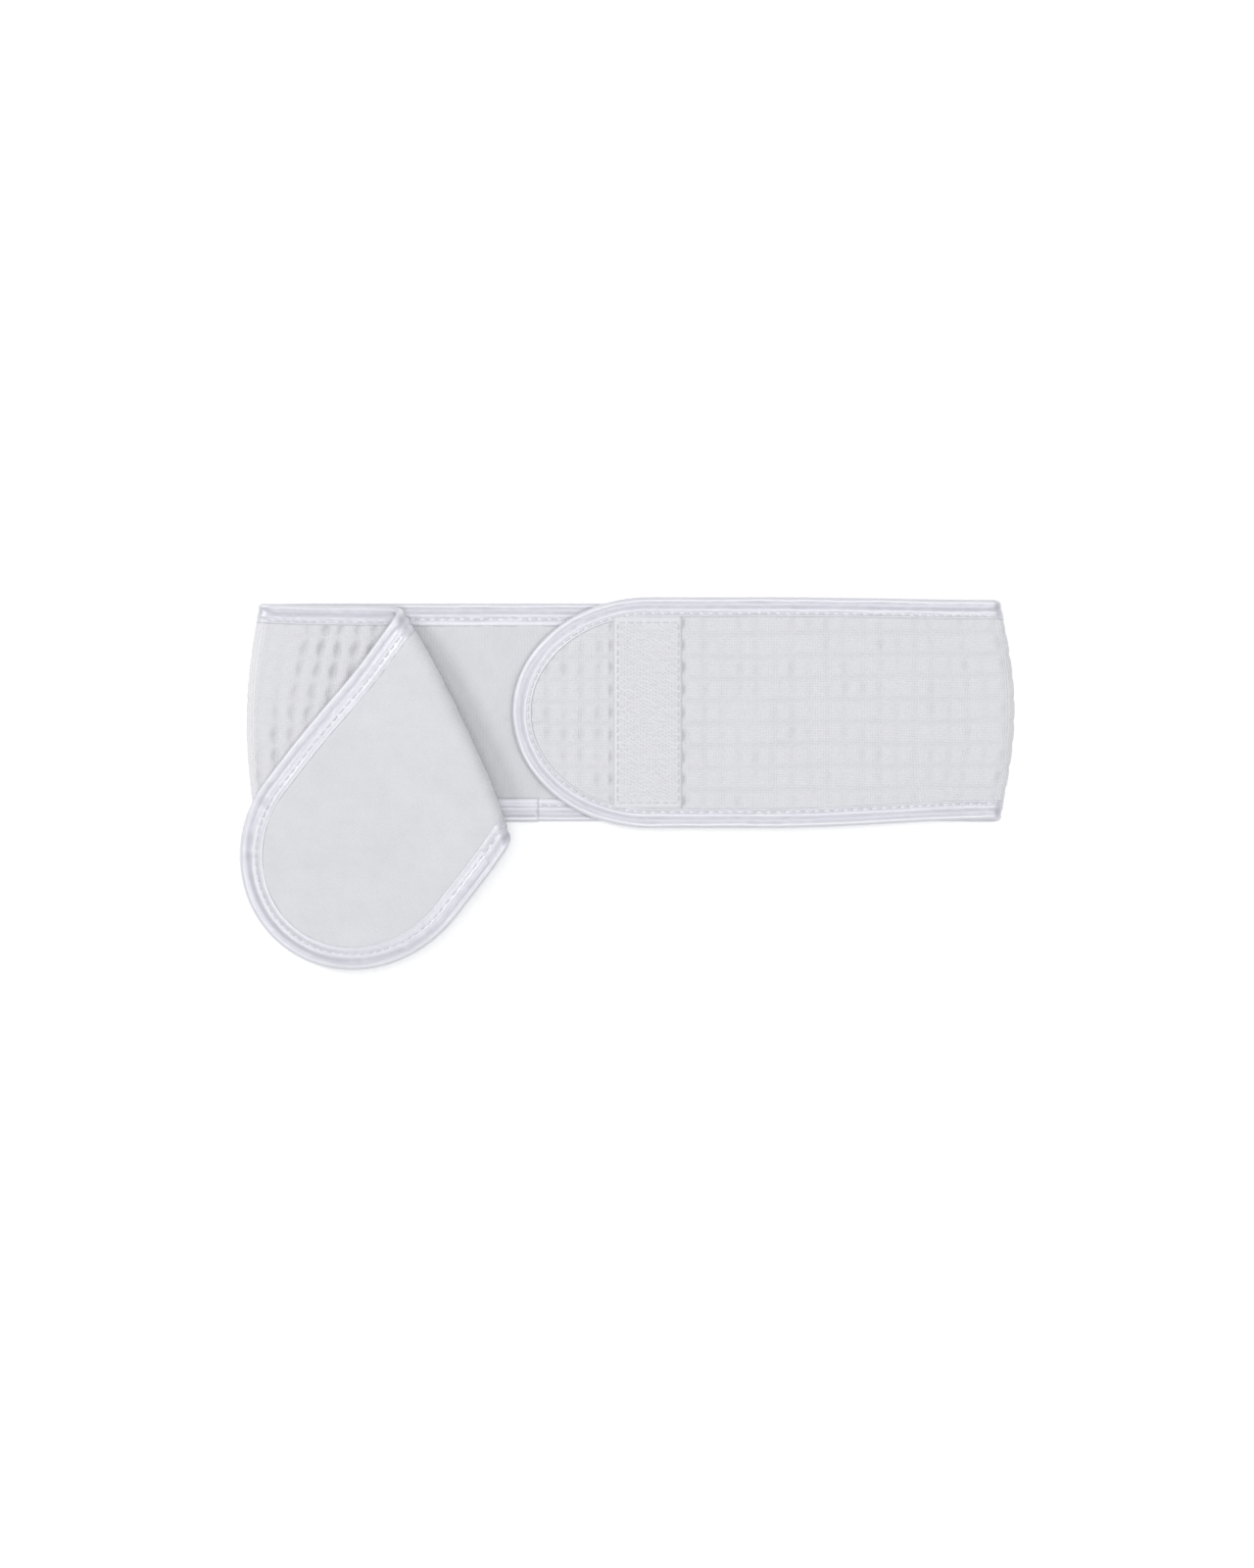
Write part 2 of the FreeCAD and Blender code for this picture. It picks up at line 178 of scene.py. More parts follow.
def slant_line(distance):
    """The line at that distance beyond the slanted fold, as r for a given v."""
    return lambda v: SLANT_AT + (distance - v * ACROSS) / ALONG


def half_width(side, r):
    """Half the band's width: the arms widen a little from the folds to their ends."""
    if side == "right":
        out = RIGHT_HALF_NEAR + (RIGHT_HALF_FAR - RIGHT_HALF_NEAR) * smooth(r / 86)
    else:
        out = LEFT_HALF_NEAR + (LEFT_HALF_FAR - LEFT_HALF_NEAR) * smooth(r / 80)
        out = out + (TIP_HALF - LEFT_HALF_FAR) * smooth((r - SLANT_AT) / 45)
    near = RIGHT_HALF_NEAR if side == "right" else LEFT_HALF_NEAR
    return np.where(r < 0, BACK_HALF + (near - BACK_HALF) * smooth((r + STRIP + 20) / 20), out)


INSETS = {"right": (0.3, 4.75), "left": (2.0, 5.0)}  # hinge to bend, mid-width and at the edges


def fold_inset(side, v):
    """How far the cloth's bend stands in from the hinge line: the fold bows out at mid-width."""
    middle, edge = INSETS[side]
    bow = (1 - np.clip(np.abs(v) / BACK_HALF, 0, 1) ** 2) ** 1.4
    return edge + (middle - edge) * bow


def puff(v):
    """How much rounder the fold is at mid-width than at its stiff bound edges."""
    return 0.5 * (1 - np.clip(np.abs(v) / BACK_HALF, 0, 1) ** 2)


BACK_RISE = 0.2  # the back panel's middle above the hinge's middle on the page


def place_back(x, v, d):
    """The back panel lies flat, waffle side down."""
    sag = 0.25 * waves(x, v, 70, 3) * smooth((BACK_HALF - np.abs(v)) / 20)
    lift = np.where(d < THICK / 2, 1.0, 0.0)
    return np.stack([x, BAND_Y + BACK_RISE + v, np.maximum(THICK - d + 0.3 * sag * lift, LOWEST)], -1)


def place_bend(side, r, v, d):
    """Cloth on the end fold, r from -STRIP on the panel's side to 0 on the arm's."""
    outward = 1 if side == "right" else -1
    fold_x = RIGHT_X if side == "right" else LEFT_X
    angle = (r / STRIP + 1) * math.pi
    if side == "left":
        angle = angle * (1 - RISE / 180)
    radius = BEND + d - THICK / 2 + puff(v)
    centre_z = FOLD_Z + puff(v)
    x = fold_x - outward * fold_inset(side, v) + outward * radius * np.sin(angle)
    if side == "left":
        x = x + math.tan(math.radians(SKEW)) * v
    y = BAND_Y + BACK_RISE + v + (drift(side, 0 * v) - BACK_RISE) * smooth(angle / math.pi)
    return np.stack([x, y, np.maximum(centre_z - radius * np.cos(angle), LOWEST)], -1)


def drift(side, r):
    """How far the arm's middle stands above the hinge's middle on the page."""
    if side == "right":
        return 1.1 * (1 - smooth(r / 86))
    return 0.2 * (1 - smooth(r / 60))


def corner_facet(side, r, v, d):
    """The binding's corner at an end fold is pressed into a small slanting facet."""
    edge = half_width(side, r) - np.abs(v)
    crease = 4.8 * np.clip(edge / WAFFLE_BINDING, 0, 1.1)
    depth = np.clip(0.34 * (crease - r), 0, 0.9) * smooth((WAFFLE_BINDING + 0.8 - edge) / 0.8)
    return np.where(d > THICK / 2, depth * smooth((r + 3.5) / 3.5), 0)


def arm_height(side, r, v, d):
    """Height over the hinge axis of a place on an arm."""
    swell = 2 * puff(v) * (1 - smooth(r / SETTLE))
    height = FOLD_GAP / 2 + d + swell - corner_facet(side, r, v, d)
    if side == "right":
        inner = smooth((38 - np.abs(v)) / 25) * (1 - smooth((r - 120) / 45))
        return height + inner * (0.35 * waves(r, v, 75, 11) * smooth(r / 30) + 0.25)
    return height + 0.25 * waves(r, v, 60, 12) * smooth(r / 20) * smooth((SLANT_AT - 15 - r) / 20)


def place_right(r, v, d):
    """The right arm lies over the back panel, waffle side up."""
    y = BAND_Y + drift("right", r) + v
    return np.stack([RIGHT_X - r, y, FOLD_Z + arm_height("right", r, v, d)], -1)


def tip_droop(r):
    """The free end sags below the level of the arm that it is turned back over."""
    return 5.2 * smooth((r - SLANT_AT - 42) / 75) ** 1.2


def tip_sway(r):
    """The free end curves a little sideways on the page."""
    return 3.0 * smooth((r - SLANT_AT - 5) / 105)


def place_left(r, v, d):
    """The left arm, and beyond the slanted fold its end turned back over it."""
    beyond = slant_distance(r, v)
    height = arm_height("left", r, v, d)
    middle = FOLD_GAP / 2 + THICK / 2
    through = d - THICK / 2
    turn = np.clip((beyond - SLANT_START) / SLANT_BEND, 0, math.pi)
    before = np.maximum(SLANT_START - beyond, 0)
    past = np.maximum(beyond - SLANT_START - SLANT_STRIP, 0)
    on_fold = (v * ALONG - (r - SLANT_AT) * ACROSS) * ALONG / LEFT_HALF_FAR  # -1 to 1 along the fold
    bow = 1 - np.clip(np.abs(on_fold), 0, 1) ** 2.5
    radius = SLANT_BEND_EDGE + (SLANT_BEND_MIDDLE - SLANT_BEND_EDGE) * bow
    shift = (SLANT_BEND + SLANT_BOW * bow - radius) * (1 - smooth((before + past) / 38))
    reach = SLANT_START + shift - before - past + (radius - through) * np.sin(turn)
    spread = TIP_LEVEL + (radius - TIP_LEVEL) * np.exp(-((past / 15) ** 2))
    bent = middle + radius - (radius - through) * np.cos(turn)
    over = middle + 2 * spread - through - tip_droop(r) + 0.35 * waves(r, v, 55, 21) * smooth(past / 15)
    level = np.where(beyond < SLANT_START, height, np.where(past > 0, over, bent))
    sway = np.where(beyond > SLANT_START, tip_sway(r), 0)
    line = (v + sway) * ALONG - (r - SLANT_AT) * ACROSS  # place along the slanted fold, which it keeps
    out = SLANT_AT + reach * ALONG - line * ACROSS
    up = reach * ACROSS + line * ALONG + drift("left", r)
    return np.array([LEFT_X, BAND_Y, FOLD_Z]) + np.stack([out, up, level], -1) @ ARM_TURN.T


def bowed(side, v, length):
    """Flat length from the fold to distance from the hinge line, with the fold's bow dying out."""
    return length + fold_inset(side, v) * (1 - smooth(length / SETTLE))


def place(side, r, v, d):
    """Where a flat place of one half of the band is, in millimetres."""
    r, v, d = np.broadcast_arrays(r, v, d)
    outward = 1 if side == "right" else -1
    fold_x = RIGHT_X if side == "right" else LEFT_X
    panel_x = fold_x - outward * bowed(side, v, np.maximum(-STRIP - r, 0))
    if side == "left":
        panel_x = panel_x + math.tan(math.radians(SKEW)) * v * (1 - smooth((-STRIP - r) / SETTLE))
    out = place_back(panel_x, v, d)
    round_fold = (r > -STRIP) & (r < 0)
    out = np.where(round_fold[..., None], place_bend(side, np.clip(r, -STRIP, 0), v, d), out)
    arm_r = bowed(side, v, np.maximum(r, 0))
    arm = place_right(arm_r, v, d) if side == "right" else place_left(arm_r, v, d)
    return np.where((r >= 0)[..., None], arm, out)


# ---- Waffle, lining and edge relief.


def pattern_place(side, r):
    """Distance along the whole flat band from the middle of the back panel."""
    return r + STRIP + RIGHT_X if side == "right" else -(r + STRIP) + LEFT_X


def right_pits(r, v, along, cell_across):
    """The right arm is pulled smooth: shallow pits, deeper beyond the tape, with grooves between rows."""
    cell_along = 0.5 - 0.5 * np.cos(2 * math.pi * along / WAFFLE_ALONG)
    pit = cell_along**1.8 * cell_across**0.7
    deep = 0.26 + 0.34 * smooth((r - TAPE_FAR + 2) / 6) + 0.55 * smooth((2 - r) / 4)
    deep = deep + 0.16 * waves(along, v, 18, 34)
    tape_edge = np.minimum(np.abs(r - TAPE_NEAR + 0.7), np.abs(r - TAPE_FAR - 0.7))
    dash = 1.1 * np.exp(-((tape_edge / 0.75) ** 2)) * cell_across**0.8  # open pits along the tape's edges
    groove_deep = 0.32
    return deep, pit, groove_deep, dash


def left_pits(r, v, along, cell_across):
    """The left arm is loose: almost smooth by its fold, with deep uneven pits further out."""
    wobble = 0.35 * waves(along, v, 9, 35) + 0.5 * (1 - cell_across)
    cell_along = 0.5 - 0.5 * np.cos(2 * math.pi * (along + wobble) / WAFFLE_ALONG)
    pit = cell_along**2.0 * (0.12 + 0.88 * cell_across**0.6)
    by_tip = smooth((r - 50 - 0.77 * (v - 36) + 5) / 5)  # the turned-back end's edge presses them here
    deep = 0.16 + 1.3 * smooth((r - 4 - 0.33 * v) / 8) * (1 - 0.55 * by_tip)
    deep = np.where(r > SLANT_AT, 1.0, deep)
    groove_deep = 0.12
    return deep, pit, groove_deep, 0.0


def waffle_depth(side, r, v):
    """Depth of the waffle's pits below its ridges."""
    along = pattern_place(side, r)
    lean = 0.13 * np.maximum(v - 2, 0) * smooth(r / 30) * (side == "left") * smooth((75 - r) / 20)
    along = along + lean + 0.35 * waves(along, v, 30, 31)
    across = v + 0.4 * waves(along, v, 45, 32)
    cell_across = 0.5 + 0.5 * np.cos(2 * math.pi * across / WAFFLE_ACROSS)
    groove = (1 - cell_across) ** 5
    pits = right_pits if side == "right" else left_pits
    deep, pit, groove_deep, dash = pits(r, v, along, cell_across)
    deep = np.where(r < -STRIP - 4, 0.85, deep)  # the back panel's, underneath
    uneven = 1 + 0.25 * waves(along, v, 24, 33)
    return np.maximum((deep * pit + groove_deep * groove) * uneven + dash, 0)


def pressed(edge):
    """The seam squeezes the cloth; edge is the distance from the band's edge."""
    return 1 - 0.22 * np.exp(-(((edge - SEAM_INSET) / 2.4) ** 2))


def under_tape(side, r, v):
    """1 where the hook tape covers the waffle, 0 elsewhere."""
    if side != "right":
        return np.zeros(np.shape(r))
    inside = np.minimum(r - TAPE_NEAR, TAPE_FAR - r)
    to_binding = half_width(side, r) - WAFFLE_BINDING + 0.5 - np.abs(v)
    return smooth((inside + 0.1) / 0.7) * smooth(to_binding / 0.6)


def tucked(height, edge, binding):
    """The cloth is thinner where the binding holds it."""
    under = 0.72
    return under + (height - under) * smooth((edge - binding + 1.9) / 1.9)


def cover_surface(side, r, v, edge):
    """The waffle face, and how deep in a pit each place is, for the painted shade that darkens the pits.
    """
    fade = smooth((edge - WAFFLE_BINDING + 0.5) / 2.2)
    depth = waffle_depth(side, r, v) * fade
    hidden = under_tape(side, r, v)
    depth = depth * (1 - hidden) + 0.55 * hidden
    d = THICK / 2 + tucked((THICK / 2 - depth) * pressed(edge), edge, WAFFLE_BINDING)
    # painted shade: the deeper a place sits in a pit, the darker its colour
    return d, np.clip(depth / 1.3, 0, 1)


def lining_surface(side, r, v, edge):
    """The lining's face, with the waffle showing through faintly.  It gets no painted shade."""
    along = pattern_place(side, r)
    nap = 0.05 * waves(along, v, 5, 41) + 0.05 * waves(along, v, 11, 42)
    ghost = 0.05 * np.cos(2 * math.pi * v / WAFFLE_ACROSS) * np.cos(2 * math.pi * along / WAFFLE_ALONG)
    d = THICK / 2 - tucked((THICK / 2 + nap + ghost) * pressed(edge), edge, LINING_BINDING)
    return d, 0 * d


# ---- Meshes.


UV_PER_MM, MM_PER_UV = 0.01, 100  # the unit of each mesh's "flat" map


def new_object(name, points, faces, flat=None, tone_with_painted_light=None):
    """A mesh from points in millimetres.  Flat is each point's (along, across) on the flat band."""
    mesh = bpy.data.meshes.new(name)
    mesh.from_pydata((np.asarray(points) * MM).tolist(), [], np.asarray(faces).tolist())
    mesh.update()
    mesh.polygons.foreach_set("use_smooth", [True] * len(mesh.polygons))
    if flat is not None:
        corner = np.empty(len(mesh.loops), np.int32)
        mesh.loops.foreach_get("vertex_index", corner)
        layer = mesh.uv_layers.new(name="flat")
        layer.data.foreach_set("uv", (np.asarray(flat)[corner] * UV_PER_MM).ravel().astype(np.float32))
    # This attribute carries painted light: painted shade in the waffle's pits, and painted highlights and
    # shade on the satin.
    if tone_with_painted_light is not None:
        attribute = mesh.attributes.new("tone_with_painted_light", "FLOAT", "POINT")
        attribute.data.foreach_set("value", np.asarray(tone_with_painted_light, np.float32).ravel())
    item = bpy.data.objects.new(name, mesh)
    bpy.context.scene.collection.objects.link(item)
    return item


def grid_faces(rows, columns, flip=False, wrap=False):
    """Quads of a grid of points.  With wrap, its last column is joined to its first."""
    index = np.arange(rows * columns).reshape(rows, columns)
    if wrap:
        index = np.concatenate([index, index[:, :1]], 1)
    quads = np.stack([index[:-1, :-1], index[1:, :-1], index[1:, 1:], index[:-1, 1:]], -1).reshape(-1, 4)
    return quads[:, ::-1] if flip else quads


def attach(item, ride, slot, replaced=(), flat_weight=None):
    """Ride one body.  With two, no blend is made: the points are swapped for the flat coordinate, baked,
    and put back, and the piece rides neither body; start and end are not read.
    """
    item.data.materials.append(MATERIALS[slot])
    if len(ride) == 1:
        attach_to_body(item, ride[0])
    else:
        coordinate, start, end = flat_weight
        folded = np.empty(len(item.data.vertices) * 3)
        item.data.vertices.foreach_get("co", folded)
        unrolled = np.zeros((len(item.data.vertices), 3))
        unrolled[:, 0] = np.asarray(coordinate).ravel()
        item.data.vertices.foreach_set("co", unrolled.ravel())
        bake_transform(item)
        item.data.vertices.foreach_set("co", folded)
        item.data.update()
    if replaced:
        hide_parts(*replaced)


# ---- Stretches of the band: (name, side, first line, last line, bodies it rides on).
ZONE = 2 * WAFFLE_ALONG  # cloth on each side of an end fold that belongs to the fold's piece
SLANT_ZONE = 7.0  # and on each side of the slanted fold
CLOTH_MARGIN = 1.2  # the cloth's own edge, inside the binding


def constant(r):
    """The line straight across the band at r."""
    return lambda v: r + 0 * v


PANEL_EDGE = -STRIP - ZONE
TIP_FOLD_FIRST = slant_line(SLANT_START - SLANT_ZONE)
TIP_FOLD_LAST = slant_line(SLANT_START + SLANT_STRIP + SLANT_ZONE)
STRETCHES = (
    ("right_fold", "right", constant(PANEL_EDGE), constant(ZONE), ("back_panel", "right_flap")),
    ("right", "right", constant(ZONE), None, ("right_flap",)),
    ("left_fold", "left", constant(PANEL_EDGE), constant(ZONE), ("back_panel", "left_flap")),
    ("left", "left", constant(ZONE), TIP_FOLD_FIRST, ("left_flap",)),
    ("tip_fold", "left", TIP_FOLD_FIRST, TIP_FOLD_LAST, ("left_flap", "left_tip")),
    ("tip", "left", TIP_FOLD_LAST, None, ("left_tip",)),
)
NOSES = {  # where each rounded end starts, its length and its half width
    "right": (RIGHT_LENGTH - RIGHT_NOSE, RIGHT_NOSE, RIGHT_HALF_FAR),
    "left": (TIP_END - LEFT_NOSE, LEFT_NOSE, TIP_HALF),
}


def fold_weight(name, side, r, v):
    """The flat coordinate handed to a fold's piece, and where its bend starts and ends."""
    if name == "tip_fold":
        return slant_distance(bowed(side, v, r), v), SLANT_START, SLANT_START + SLANT_STRIP
    sharper = 1 + 13 * smooth((np.abs(v) / BACK_HALF - 0.35) / 0.4)  # steeper towards the bound edges
    return (r + STRIP / 2) * sharper - STRIP / 2, -STRIP, 0.0


def on_line(line, side, share, margin):
    """Where a lengthways grid line, at a share of the half width, crosses a line across the band."""
    v = share * (half_width(side, line(0 * share)) - margin)
    for _ in range(4):
        r = line(v)
        v = share * (half_width(side, r) - margin)
    return r, v


def cloth_grid(side, first, last, step_along, step_across):
    """Flat places of a stretch of cloth: r and v, in rows across by columns along."""
    rows = int(round(2 * BACK_HALF / step_across)) + 1
    share = np.linspace(-1, 1, rows)
    r0, _ = on_line(first, side, share, CLOTH_MARGIN)
    if last is None:
        start, length, half = NOSES[side]
        r1 = start + 0 * share
    else:
        r1, _ = on_line(last, side, share, CLOTH_MARGIN)
    columns = 2 * max(2, int(round(np.abs(r1 - r0).max() / step_along / 2)))
    t = np.linspace(0, 1, columns)
    r = r0[:, None] + (r1 - r0)[:, None] * t
    v = share[:, None] * (half_width(side, r) - CLOTH_MARGIN)
    if last is None:
        steps = int(round(length * 1.25 / step_along))
        turn = np.linspace(0, math.radians(80), steps + 1)[1:]
        nose_r = start + (length - CLOTH_MARGIN) * np.sin(turn)
        nose_v = share[:, None] * (half - CLOTH_MARGIN) * np.cos(turn)
        r = np.concatenate([r, np.broadcast_to(nose_r, nose_v.shape)], 1)
        v = np.concatenate([v, nose_v], 1)
    return r, v


def edge_distance(side, r, v, nose=False):
    """About how far a place is from the band's edge."""
    edge = half_width(side, r) - np.abs(v)
    if nose:
        start, length, half = NOSES[side]
        x, y = np.maximum(r - start, 0) / length, v / half
        radial = np.sqrt(x * x + y * y) + 1e-9
        gradient = np.sqrt((x / length) ** 2 + (y / half) ** 2) + 1e-9
        edge = np.where(r > start, (1 - radial) * radial / gradient, edge)
    return edge


LAYERS = {  # face, material, and the mesh's steps along and across
    "cover": (cover_surface, "waffle_cloth", 0.45, 0.56),
    "lining": (lining_surface, "brushed_lining", 1.1, 1.2),
}
END_FOLDS = ("right_fold", "left_fold")
FOLD_STEP = 0.45  # every layer of an end fold has its points at the same places


def cloth_piece(layer, name, side, first, last, ride):
    """One layer of cloth over one stretch."""
    surface, slot, step_along, step_across = LAYERS[layer]
    if name in END_FOLDS:
        step_along = FOLD_STEP
    r, v = cloth_grid(side, first, last, step_along, step_across)
    d, tone_with_painted_light = surface(side, r, v, edge_distance(side, r, v, nose=last is None))
    points = place(side, r, v, d).reshape(-1, 3)
    flip = (layer == "cover") != (side == "right")
    flat = np.stack([pattern_place(side, r), v], -1).reshape(-1, 2)
    item = new_object(f"{name}_{layer}", points, grid_faces(*r.shape, flip=flip), flat, tone_with_painted_light)
    weight = fold_weight(name, side, r, v) if len(ride) == 2 else None
    attach(item, ride, slot, (f"{name}_{layer}",), weight)


def back_piece(layer):
    """The back panel between the two fold pieces, from the left one to the right one."""
    surface, slot, step_along, step_across = LAYERS[layer]
    rows = int(round(2 * BACK_HALF / step_across)) + 1
    columns = int(round((RIGHT_X - LEFT_X) / step_along / 2))
    share = np.linspace(-1, 1, rows)
    halves = []
    for side in ("left", "right"):
        middle = -STRIP - HALF_SPAN[side]
        r = np.broadcast_to(np.linspace(PANEL_EDGE, middle, columns), (rows, columns))
        v = share[:, None] * (half_width(side, r) - CLOTH_MARGIN)
        d, tone_with_painted_light = surface(side, r, v, edge_distance(side, r, v))
        flat = np.stack([pattern_place(side, r), v], -1)
        halves.append([place(side, r, v, d), flat, tone_with_painted_light[..., None]])
    left, right = halves
    points, flat, tone_with_painted_light = [np.concatenate([a[:, :-1], b[:, ::-1]], 1) for a, b in zip(left, right)]
    faces = grid_faces(rows, points.shape[1], flip=layer != "cover")
    item = new_object(f"back_{layer}", points.reshape(-1, 3), faces, flat.reshape(-1, 2), tone_with_painted_light)
    attach(item, ("back_panel",), slot, (f"back_{layer}",))


# ---- Satin binding round the edge, and its stitches.
HEM = 1.1  # seam to the binding's inner edge, on the waffle face
LINING_HEM = LINING_BINDING - SEAM_INSET
BINDING_STEP, SEAM_STEP = 1.1, 0.5  # steps along the edge
NOSE_TRIM = 24.0  # on a nose's strip, the slant of its ends dies out over this length
THREADS = (("needle_thread", 1), ("bobbin_thread", -1))  # on the waffle face and on the lining


def face_section(hem):
    """The binding over one face, from under its inner edge out to the band's edge."""
    from_hem = [(0.1, 0.95), (0.14, 1.28), (-0.2, 1.52)]
    by_seam = [(0.6, 1.40), (0.0, SEAM_HEIGHT), (-0.5, 1.28)]
    outside = [(-1.1, 1.50), (-1.7, 1.42), (-2.5, 1.14), (-3.3, 1.06)]
    inner = [(SEAM_INSET + hem + x, height) for x, height in from_hem]
    outer = [(SEAM_INSET + x, height) for x, height in by_seam + outside]
    rim = [(1.9, 1.24), (1.35, 1.43), (0.85, 1.42), (0.42, 1.12), (0.15, 0.72), (0.03, 0.3)]
    return np.array(inner + outer + rim)


def satin_painted_light(insets):
    """How dark the satin is painted over its width, as painted light: a painted highlight on the rim,
    bright by the seam, painted shade in the hollow between them and along the very edge.
    """
    # painted shade in the hollow of the section
    painted_hollow_shade = np.exp(-(((insets - 2.9) / 1.15) ** 2))
    # painted shade along the very edge, where the satin turns away from the light
    under = np.exp(-((insets / 0.22) ** 2))
    # painted highlight on the rim
    painted_rim_highlight = np.exp(-(((insets - 0.95) / 0.5) ** 2))
    return 0.62 * painted_hollow_shade + 0.4 * under - 0.35 * painted_rim_highlight


def binding_section():
    """The closed section: over the waffle face, round the edge, over the lining face and back inside."""
    other = face_section(LINING_HEM)[::-1] * (1, -1)
    inner = np.array([(5.0, -0.80), (1.2, -0.6), (0.5, 0.0), (1.2, 0.6), (5.0, 0.80)])
    return np.concatenate([face_section(HEM), other, inner])


def section_length(section):
    """Distance along the section's outline, from its first point."""
    return np.cumsum(np.r_[0, np.hypot(*np.diff(section, axis=0).T)])


def straight_edge(side, sign, first, last, step):
    """Places along one straight edge, between two lines, and the inward direction there."""
    share = np.array([float(sign)])
    start, _ = on_line(first, side, share, 0.0)
    end, _ = on_line(last, side, share, 0.0)
    count = 2 * max(2, int(round(abs(end[0] - start[0]) / step / 2)))
    r = np.linspace(start[0], end[0], count)
    v = sign * half_width(side, r)
    return np.stack([r, v, 0 * r, -sign + 0 * r], -1)


def edge_path(side, first, last, step, edge_side):
    """Places along the band's edge and the inward direction.  An arm with a nose goes right round."""
    if last is not None:
        return straight_edge(side, edge_side, first, last, step)
    start, length, half = NOSES[side]
    top = straight_edge(side, 1, first, constant(start), step)
    bottom = straight_edge(side, -1, first, constant(start), step)[::-1]
    turn = np.linspace(0, math.pi, int(round((length + half) * 1.6 / step)))[1:-1]
    normal = np.stack([-np.sin(turn) / length, -np.cos(turn) / half], -1)
    normal = normal / np.linalg.norm(normal, axis=1, keepdims=True)
    nose = np.stack([start + length * np.sin(turn), half * np.cos(turn)], -1)
    return np.concatenate([top, np.concatenate([nose, normal], 1), bottom])


def strip_places(side, first, last, edge_side, insets, step):
    """Flat (r, v) of a strip along the edge, for each inset, with slanted ends kept in line."""
    path = edge_path(side, first, last, step, edge_side)
    r = path[:, 0][:, None] + path[:, 2][:, None] * insets
    v = path[:, 1][:, None] + path[:, 3][:, None] * insets
    length = np.concatenate([[0], np.cumsum(np.hypot(*np.diff(path[:, :2], axis=0).T))])
    reach = NOSE_TRIM if last is None else length[-1]
    for station, line in ((0, first), (len(path) - 1, first if last is None else last)):
        wanted = line(v[station])
        for _ in range(3):
            sign = np.sign(path[station, 1])
            wanted = line(sign * (half_width(side, wanted) - insets))
        shift = wanted - r[station]
        away = np.abs(length - length[station])
        r = r + (1 - np.clip(away / reach, 0, 1))[:, None] * shift[None, :]
    straight = np.abs(path[:, 2]) < 1e-9
    sign = np.sign(path[:, 1])[:, None]
    v = np.where(straight[:, None], sign * (half_width(side, r) - insets), v)
    return r, v, length


def satin_relief(length, insets, d):
    """Dents at the stitches, pulls running from them towards the edge, and slow unevenness."""
    along = length[:, None] + 0 * insets
    near_seam = np.exp(-(((insets - SEAM_INSET) / 1.1) ** 2))
    dent = 0.10 * near_seam * (0.5 + 0.5 * np.cos(2 * math.pi * along / STITCH_PITCH))
    face = smooth(insets / 2.0) * (1 - 0.75 * smooth((insets - SEAM_INSET + 0.6) / 1.2))
    pull = 0.06 * waves(along, insets * 0.25, 5, 51) * face
    slow = 0.13 * waves(along, insets * 0.8, 20, 52) * face
    return np.sign(d - THICK / 2) * (pull + slow - dent)


def binding_piece(name, side, first, last, ride, edge_side=1, suffix=""):
    """The binding along one stretch, as one closed strip round the edge."""
    section = binding_section()
    insets, heights = section[:, 0], section[:, 1]
    step = FOLD_STEP if name in END_FOLDS else BINDING_STEP
    r, v, length = strip_places(side, first, last, edge_side, insets, step)
    base = THICK / 2 + heights[None, :] + 0 * r
    d = base + satin_relief(length, insets, base)
    points = place(side, r, v, d).reshape(-1, 3)
    flat = np.stack([length[:, None] + 0 * r, section_length(section) + 0 * r], -1).reshape(-1, 2)
    flip = (side == "right") != (edge_side < 0 and last is not None)
    faces = grid_faces(*r.shape, flip=flip, wrap=True)
    item = new_object(f"{name}_binding{suffix}", points, faces, flat, satin_painted_light(insets) + 0 * r)
    weight = fold_weight(name, side, r, v) if len(ride) == 2 else None
    attach(item, ride, "satin_binding", (f"{name}_binding{suffix}",), weight)


def stitch_run(name, side, path_r, path_v, direction, inset_direction, face, lift=0.0):
    """Single stitches centred on flat places, each a short thread sunk at both ends."""
    stations = np.array([-1.0, -0.72, 0.0, 0.72, 1.0])
    sink = np.array([-0.34, 0.04, 0.12, 0.04, -0.34])
    sides = np.linspace(0, 2 * math.pi, 7)[:-1]
    ring_in = THREAD_RADIUS * np.cos(sides)
    ring_up = THREAD_RADIUS * np.sin(sides)
    narrow = np.array([0.55, 1.0, 1.0, 1.0, 0.55])
    lengthways = (stations * STITCH_LENGTH / 2)[None, :, None]
    sideways = (narrow[:, None] * ring_in[None, :])[None]
    r, v = [
        centre[:, None, None] + direction[:, k][:, None, None] * lengthways
        + inset_direction[:, k][:, None, None] * sideways
        for k, centre in enumerate((path_r, path_v))
    ]
    up = sink[:, None] + narrow[:, None] * ring_up[None, :]
    d = THICK / 2 + face * (SEAM_HEIGHT + lift + up[None] + 0 * r)
    points = place(side, r, v, d).reshape(-1, 3)
    one = grid_faces(len(stations), len(sides), wrap=True)
    per = len(stations) * len(sides)
    faces = (one[None] + (np.arange(len(path_r)) * per)[:, None, None]).reshape(-1, 4)
    flat = np.stack([r, v], -1).reshape(-1, 2)
    return new_object(name, points, faces, flat), r, v


